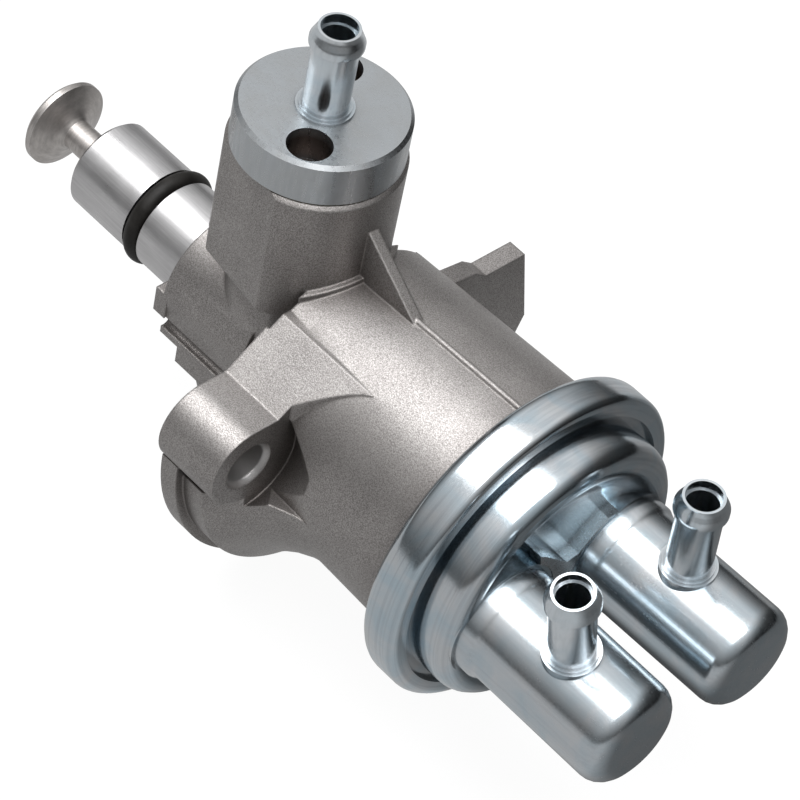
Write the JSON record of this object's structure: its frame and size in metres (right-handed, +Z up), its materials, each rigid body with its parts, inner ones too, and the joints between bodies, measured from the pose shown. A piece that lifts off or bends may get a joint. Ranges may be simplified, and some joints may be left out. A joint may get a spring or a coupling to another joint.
{
  "type": "mechanical fuel pump",
  "caption": "Cam-driven lift pump for an engine: cast body with ears and outlet tower, sprung tappet in a guide sleeve, stamped diaphragm cover with valve cans and beaded hose tubes.",
  "frame": {"origin": "on the pump axis, at the front face of the mounting flange, midway between the bolt holes", "axes": "+X along the pump axis from the tappet to the diaphragm cover, +Z up along the outlet tower, +Y to the far ear"},
  "size_m": [0.1945, 0.1013, 0.1268],
  "materials": {
    "cast_aluminium": "shot-blasted casting, matt with a fine grain",
    "ground_steel": "ground, bright",
    "tappet_steel": "turned, oiled",
    "inner_steel": "turned",
    "spring_steel": "dark",
    "seal_rubber": "matt",
    "diaphragm_cloth": "coated cloth, matt",
    "piston_ring_iron": "ground",
    "bright_zinc": "bright zinc plate, glossy, slightly blue",
    "satin_zinc": "satin zinc plate",
    "strap_steel": "rough, sheared",
    "seal_washer": "thin, pale",
    "valve_brass": "turned",
    "valve_plastic": "smooth"
  },
  "bodies": {
    "pump": {"pump_body": "cast_aluminium", "guide_sleeve": "ground_steel", "sleeve_seal_ring": "seal_rubber", "rod_seal": "seal_rubber", "seal_retainer": "inner_steel", "return_spring": "spring_steel", "wall_seal": "seal_rubber", "diaphragm": "diaphragm_cloth", "crimp_ring": "bright_zinc", "diaphragm_cover": "bright_zinc", "valve_strap": "strap_steel", "inlet_can": "bright_zinc", "inlet_tube": "bright_zinc", "inlet_valve_seat": "valve_brass", "inlet_valve_spring": "spring_steel", "transfer_can": "bright_zinc", "transfer_tube": "bright_zinc", "transfer_valve_seat": "valve_brass", "transfer_valve_spring": "spring_steel", "outlet_plug": "satin_zinc", "plug_seal": "seal_washer", "outlet_tube": "bright_zinc", "outlet_valve_seat": "valve_brass", "outlet_valve_spring": "spring_steel"},
    "tappet_assembly": {"tappet": "tappet_steel", "piston": "inner_steel", "piston_ring": "piston_ring_iron", "diaphragm_rod": "inner_steel", "diaphragm_plate_front": "satin_zinc", "diaphragm_plate_rear": "satin_zinc", "diaphragm_nut": "satin_zinc"},
    "inlet_valve": {"inlet_valve_disc": "valve_plastic"},
    "transfer_valve": {"transfer_valve_disc": "valve_plastic"},
    "outlet_valve": {"outlet_valve_disc": "valve_plastic"}
  },
  "joints": [
    {"name": "tappet_stroke", "type": "slide", "parent": "pump", "child": "tappet_assembly", "axis": [1, 0, 0], "range_m": [0, 0.005], "stiffness_N_per_m": 5600, "springref_m": -0.004, "deforming": ["return_spring", "diaphragm"]},
    {"name": "inlet_valve_lift", "type": "slide", "parent": "pump", "child": "inlet_valve", "axis": [-1, 0, 0], "range_m": [0, 0.0015], "stiffness_N_per_m": 500, "springref_m": -0.001, "deforming": ["inlet_valve_spring"]},
    {"name": "transfer_valve_lift", "type": "slide", "parent": "pump", "child": "transfer_valve", "axis": [0.9998, 0.0209, 0], "range_m": [0, 0.0015], "stiffness_N_per_m": 500, "springref_m": -0.001, "deforming": ["transfer_valve_spring"]},
    {"name": "outlet_valve_lift", "type": "slide", "parent": "pump", "child": "outlet_valve", "axis": [0, 0, 1], "range_m": [0, 0.0015], "stiffness_N_per_m": 500, "springref_m": -0.001, "deforming": ["outlet_valve_spring"]}
  ]
}
